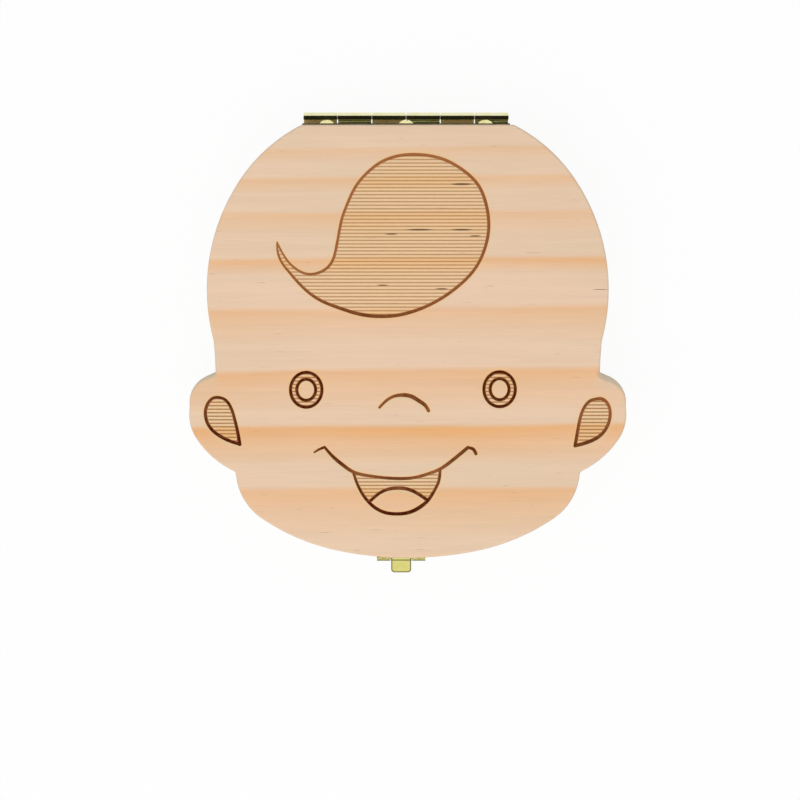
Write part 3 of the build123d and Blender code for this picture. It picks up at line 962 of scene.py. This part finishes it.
def pocketLoops():
    # Circles at equal steps of angle round an ellipse, and two rounded rectangles inside it.
    size = baseBoard
    loops = []
    for angle in (np.arange(size["wellCount"]) + 0.5) * 2 * math.pi / size["wellCount"]:
        x = size["ringHalfWidth"] * math.cos(angle)
        y = size["ringCentreY"] + size["ringHalfHeight"] * math.sin(angle)
        loops.append(ellipse((x, y), size["wellRadius"], size["wellRadius"], size["wellStep"]))
    corner = size["compartmentRound"]
    wide, high = size["compartmentWidth"] / 2 - corner, size["compartmentHeight"] / 2 - corner
    for side in (-1, 1):
        middle = size["ringCentreY"] + side * (size["compartmentHeight"] + size["compartmentGap"]) / 2
        loops.append(np.vstack([
            arcPoints(right * wide, middle + up * high, corner, turn, turn + 90, 9)
            for right, up, turn in ((1, 1, 0), (-1, 1, 90), (-1, -1, 180), (1, -1, 270))
        ]))
    return loops


def makeBase():
    bottom, top = baseBoard["bottom"], baseBoard["top"]
    ease, edge = baseBoard["innerEase"], baseBoard["edgeRound"]
    mouth, floorRound = baseBoard["mouthEase"], baseBoard["floorRound"]
    floor = top - baseBoard["wellDepth"]
    rows = carried(headLoop(), (
        arcPoints(edge, bottom + edge, edge, -90, -180, 8) + upright(bottom + edge, top - ease, 5)
        + arcPoints(ease, top - ease, ease, 180, 90, 4)
    ))
    shell = Shell()
    shell.wall(rows)
    shell.flat(*triangulate([rows[0, :, :2]]), bottom, upwards=False)
    pocketProfile = (
        arcPoints(-mouth, top - mouth, mouth, 90, 0, 5) + upright(top - mouth, floor + floorRound, 4)
        + arcPoints(floorRound, floor + floorRound, floorRound, 180, 270, 5)
    )
    mouths = []
    for pocket in pocketLoops():
        sides = carried(pocket, pocketProfile)
        shell.wall(sides)
        shell.fan(sides[-1])
        mouths.append(sides[0, :, :2])
    points, triangles = triangulate([rows[-1, :, :2], *mouths])
    middles = points[triangles].mean(1)
    routed = np.any([insideLoop(middles, opening) for opening in mouths], axis=0)
    shell.flat(points, triangles[~routed], top)
    mesh, _ = shell.mesh("base_board")
    paintMarks(mesh)
    smoothed(mesh)
    showPiece("base_board", mesh, basePine, "base", ["base"])


# Screws and nails: surfaces turned round their own axes, from the point to the domed head
fasteners = {
    "screw": {
        "head": 2.2,
        "rim": 0.12,
        "solid": 0.9,  # height of the solid's head, which says where the sheet is
        "dome": 1.25,  # height of this head
        "shank": 0.8,
        "core": 0.58,  # of the shank between the turns of its thread
        "pitch": 0.9,
        "plain": 1.2,  # length without a thread, under the head
        "length": 8.0,
        "point": 1.6,
        "arm": 1.35,  # of the cross recess, from its middle
        "armHalf": 0.3,
        "recess": 0.7,
    },
    "nail": {
        "head": 0.95,
        "rim": 0.06,
        "solid": 0.45,
        "dome": 0.45,
        "shank": 0.45,
        "core": 0.45,
        "pitch": 1.0,
        "plain": 1.0,
        "length": 6.0,
        "point": 1.0,
        "arm": 0.4,
        "armHalf": 0.1,
        "recess": 0.0,
    },
}
fastenerNodes = {  # the kind, how many stand in a row, their body, and which way their heads look
    "hinge_screws_base": ("screw", 3, "base", 1),
    "hinge_screws_lid": ("screw", 3, "lid", 1),
    "catch_nails": ("nail", 2, "base", -1),
    "latch_nails": ("nail", 2, "lid", -1),
}
turning = {
    "columns": 48,
    "shankRows": 60,
    "capRows": 26,
    "tip": 0.08,  # width of the point's end beside the shank's
    "ridge": 3.0,  # how often half a ridge's width goes into the pitch
    "cross": (1.6, 0.1),  # how late its arms get shallow, and how wide its walls are
    "turns": (0.5, 0.9),  # radians, of the first head's cross and from each head to the next
}


def turnedRows(kind, turn):
    # Rows round the axis from the point up: a cone, a shank whose thread is a sharp ridge that
    # climbs one pitch a turn, a flat underside, a rim, and a sphere's cap with a cross sunk in it.
    size = fasteners[kind]
    # The columns start at one arm of the cross, so that its edges fall between them.
    angle = np.linspace(0, 2 * math.pi, turning["columns"], endpoint=False) - turn
    height = np.linspace(-size["length"], 0, turning["shankRows"])[:, None]
    taper = np.clip((height + size["length"]) / size["point"], turning["tip"], 1)
    phase = (height / size["pitch"] - angle / (2 * math.pi)) % 1
    threaded = height < -size["plain"]
    ridge = np.clip(1 - turning["ridge"] * np.abs(phase - 0.5), 0, 1) * threaded
    core = np.where(threaded, size["core"], size["shank"])
    radius = taper * (core + ridge * (size["shank"] - size["core"]))
    out = size["head"] * np.concatenate([[1, 1], np.linspace(1, 0.02, turning["capRows"])[1:]])[:, None]
    rise = size["dome"] - size["rim"]
    sphere = (size["head"] ** 2 + rise**2) / (2 * rise)
    cap = np.sqrt(sphere**2 - out**2) - sphere + size["dome"]
    cap[0] = 0.0
    across = out * np.minimum(np.abs(np.cos(angle + turn)), np.abs(np.sin(angle + turn)))
    shallow, wall = turning["cross"]
    sunk = np.clip((size["armHalf"] - across) / wall, 0, 1)
    sunk *= np.clip(shallow - shallow * out / size["arm"], 0, 1)
    return np.concatenate([
        np.stack([wide * np.cos(angle), wide * np.sin(angle), high + 0 * angle], 2)
        for wide, high in ((radius, height), (out, cap - sunk * size["recess"]))
    ])


def makeFasteners(name):
    kind, count, body, outward = fastenerNodes[name]
    size = fasteners[kind]
    corners = np.array([corner[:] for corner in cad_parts[name].bound_box]) / mm
    low, high = corners.min(0), corners.max(0)
    seat = high[1] - size["solid"] if outward > 0 else low[1] + size["solid"]
    shell = Shell()
    turn, nextTurn = turning["turns"]
    for i, x in enumerate(np.linspace(low[0] + size["head"], high[0] - size["head"], count)):
        first, second, up = np.moveaxis(turnedRows(kind, turn + nextTurn * i), 2, 0)
        aside, along = (second, first) if outward > 0 else (first, second)
        placed = np.stack([x + aside, seat + outward * up, (low[2] + high[2]) / 2 + along], 2)
        shell.fan(placed[0], upwards=False)
        shell.wall(placed)
        shell.fan(placed[-1])
    mesh, _ = shell.mesh(name + "_turned")
    smoothed(mesh, sharpAngle=40, levelFrom=2)
    showPiece(name + "_turned", mesh, screwBrass, body, [name])


makeBase()
print("stage: base made")
makeLid()
print("stage: lid made")

for name in fastenerNodes:
    makeFasteners(name)
print("stage: fasteners made")

# Sheet metal and pins keep their shapes, get their finishes, and have their sharp edges broken
finishOf = {
    "hinge_leaf_base": paleBrassShadedBarrel, "hinge_leaf_lid": paleBrassShadedBarrel, "latch_plate": dullBrass,
    "latch_tongue": lipShadedBrass, "catch_plate": brassPlate,
    "hinge_pin": pinSteel, "latch_pin": pinSteel,
}
edgeBreak = {
    "width": 0.06 * mm,
    "tongueWidth": 0.19 * mm,  # its stamped edges are the roundest
    "segments": 3,
    "fromAngle": 50.0,  # degrees
}
for name, material in finishOf.items():
    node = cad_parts[name]
    node.data.materials.clear()
    node.data.materials.append(material)
    bevel = node.modifiers.new("edges", "BEVEL")
    bevel.width = edgeBreak["tongueWidth" if name == "latch_tongue" else "width"]
    bevel.segments = edgeBreak["segments"]
    bevel.limit_method = "ANGLE"
    bevel.angle_limit = math.radians(edgeBreak["fromAngle"])
print("stage: metal finished")

# Studio: a white floor, an even sky that is dimmer behind, and a soft lamp. Metal mirrors another
# sky, with a dark ceiling that reaches down behind and a dark low part in front.
studio = {
    "floorSize": 6.0,  # metres
    "floorGrey": 0.85,
    "floorShare": 0.93,  # how much of the floor's look is plain white, the rest takes the shadow
    "skyFront": 0.75,
    "skyRear": 0.5,
    "skyTurn": (-0.6, 0.8),  # from where to where the one passes into the other, along Y
    # Heights of a mirrored direction, where 0 is level and 1 is overhead, from which the
    # ceiling is dark. The one in front is past overhead, so that no ceiling shows there
    "ceilingFront": 1.1,
    "ceilingRear": 0.76,
    "ceilingTurn": (-0.1, 0.1),
    "ceilingBlend": 0.1,
    "ceiling": 0.01,
    "darkBelow": 0.5,  # the height up to which the front is dark
    "darkTurn": (-0.2, 0.2),
    "mirroredFront": 0.12,  # how bright that looks
    "mirroredFloor": 0.36,  # and the floor in front
    "floorTurn": (-0.08, 0.04),  # metres along Y, from there to the plain floor
    "lampAt": (-0.2, -0.35, 1.25),  # metres
    "lampSize": 0.9,
    "lampPower": 8.1,
}
white = (1.0, 1.0, 1.0, 1.0)


def lightRays(tree):
    # Whether a ray comes from the camera, straight or through glass, and whether it is mirrored.
    rays = addNode(tree, "ShaderNodeLightPath")
    seen = calc("MAXIMUM", Wire(rays, "Is Camera Ray"), Wire(rays, "Is Transmission Ray"))
    return seen, Wire(rays, "Is Glossy Ray")


def makeFloor():
    half, grey = studio["floorSize"] / 2, studio["floorGrey"]
    corners = [(-half, -half, 0), (half, -half, 0), (half, half, 0), (-half, half, 0)]
    mesh = bpy.data.meshes.new("floor")
    mesh.from_pydata(corners, [], [(0, 1, 2, 3)])
    floor = linked("floor", mesh)
    material, tree, shader = newMaterial("floorWhite")
    fill(shader, {"Base Color": (grey, grey, grey, 1.0), "Roughness": 0.9, "Specular IOR Level": 0.0})
    seen, glossy = lightRays(tree)
    y = xyz(Wire(addNode(tree, "ShaderNodeTexCoord"), "Object"))[1]
    mirrored = glossy * mapped(y, *studio["floorTurn"], studio["mirroredFloor"])
    glow = addNode(tree, "ShaderNodeEmission", {"Color": white, "Strength": (seen + mirrored).clamped()})
    share = calc("MAXIMUM", seen * studio["floorShare"], glossy)
    mixed = addNode(tree, "ShaderNodeMixShader", {0: share, 1: Wire(shader), 2: Wire(glow)})
    fill(tree.nodes["Material Output"], {"Surface": Wire(mixed)})
    mesh.materials.append(material)


def makeSky():
    world = bpy.data.worlds.new("sky")
    bpy.context.scene.world = world
    world.use_nodes = True
    tree = world.node_tree
    _, y, z = xyz(Wire(addNode(tree, "ShaderNodeTexCoord"), "Generated"))
    lit = mapped(y, *studio["skyTurn"], studio["skyFront"], studio["skyRear"])
    blend, darkBelow = studio["ceilingBlend"], studio["darkBelow"]
    lowest = mapped(y, *studio["ceilingTurn"], studio["ceilingFront"], studio["ceilingRear"])
    mirrored = mapped(z - lowest, 0.0, blend, 1.0, studio["ceiling"])
    dark = mapped(z, darkBelow - blend, darkBelow, 1.0, 0.0) * mapped(y, *studio["darkTurn"], 1.0, 0.0)
    mirrored = mirrored * (1.0 - dark * (1 - studio["mirroredFront"]))
    seen, glossy = lightRays(tree)
    level = Wire(addNode(tree, "ShaderNodeMix", {0: glossy, 2: lit, 3: mirrored}))
    level = Wire(addNode(tree, "ShaderNodeMix", {0: seen, 2: level, 3: 1.0}))
    fill(tree.nodes["Background"], {"Color": white, "Strength": level})


def makeLamp():
    data = bpy.data.lights.new("lamp", "AREA")
    data.shape = "SQUARE"
    data.size = studio["lampSize"]
    data.energy = studio["lampPower"]
    lamp = linked("lamp", data)
    lamp.location = studio["lampAt"]
    x, y, z = studio["lampAt"]
    lamp.rotation_euler = (math.atan2(math.hypot(x, y), z), 0, math.atan2(x, -y))
    lamp.visible_glossy = False


makeFloor()
makeSky()
makeLamp()
print("stage: studio made")
